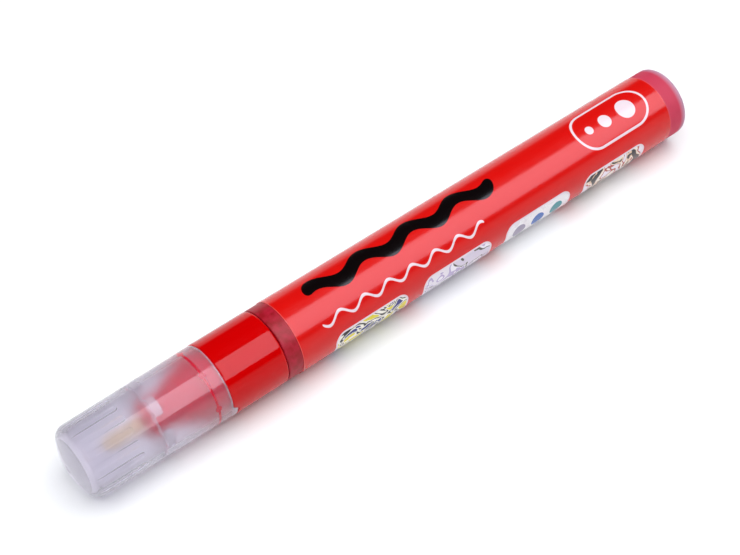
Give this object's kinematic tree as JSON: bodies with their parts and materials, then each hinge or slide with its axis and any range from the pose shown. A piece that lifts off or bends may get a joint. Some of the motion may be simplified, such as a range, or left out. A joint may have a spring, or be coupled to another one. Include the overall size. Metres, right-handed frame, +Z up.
{
  "type": "paint marker",
  "caption": "Capped cylindrical paint marker with a fibre nib, a spring valve worked by pressing the nib, a translucent barrel with a wrapped label, and a loose mixing ball.",
  "frame": {"origin": "on the floor under the middle of the pen's length, lying on its side", "axes": "+X along the pen from the cap to the tail, +Z up, +Y to the left of that direction"},
  "size_m": [0.14, 0.0144, 0.0145],
  "materials": {
    "barrel_plastic": "frosted translucent, tinted by the paint behind it",
    "label_film": "glossy printed film",
    "red_plastic": "glossy moulded",
    "valve_plastic": "moulded, natural white",
    "spring_steel": "drawn wire",
    "cap_plastic": "frosted translucent moulded",
    "liner_plastic": "translucent moulded, natural",
    "nib_fibre": "bonded fibre, ground to a bullet point",
    "seal_rubber": "soft moulded",
    "ball_steel": "ground steel"
  },
  "bodies": {
    "pen_body": {"barrel": "barrel_plastic", "label": "label_film", "front_section": "red_plastic", "valve_body": "valve_plastic", "valve_cage": "valve_plastic", "valve_spring": "spring_steel"},
    "cap": {"cap_shell": "cap_plastic", "cap_liner": "liner_plastic"},
    "nib_unit": {"nib": "nib_fibre", "valve_stem": "valve_plastic", "valve_seal": "seal_rubber"},
    "ball": {"mixing_ball": "ball_steel"}
  },
  "joints": [
    {"name": "cap_pull", "type": "slide", "parent": "pen_body", "child": "cap", "axis": [-1, 0, 0], "range_m": [0, 0.04]},
    {"name": "nib_press", "type": "slide", "parent": "pen_body", "child": "nib_unit", "axis": [1, 0, 0], "range_m": [0, 0.0018], "stiffness_N_per_m": 400, "springref_m": -0.001, "deforming": ["valve_spring"]},
    {"name": "ball_travel", "type": "slide", "parent": "pen_body", "child": "ball", "axis": [1, 0, 0], "range_m": [-0.0597, 0.0238]}
  ]
}
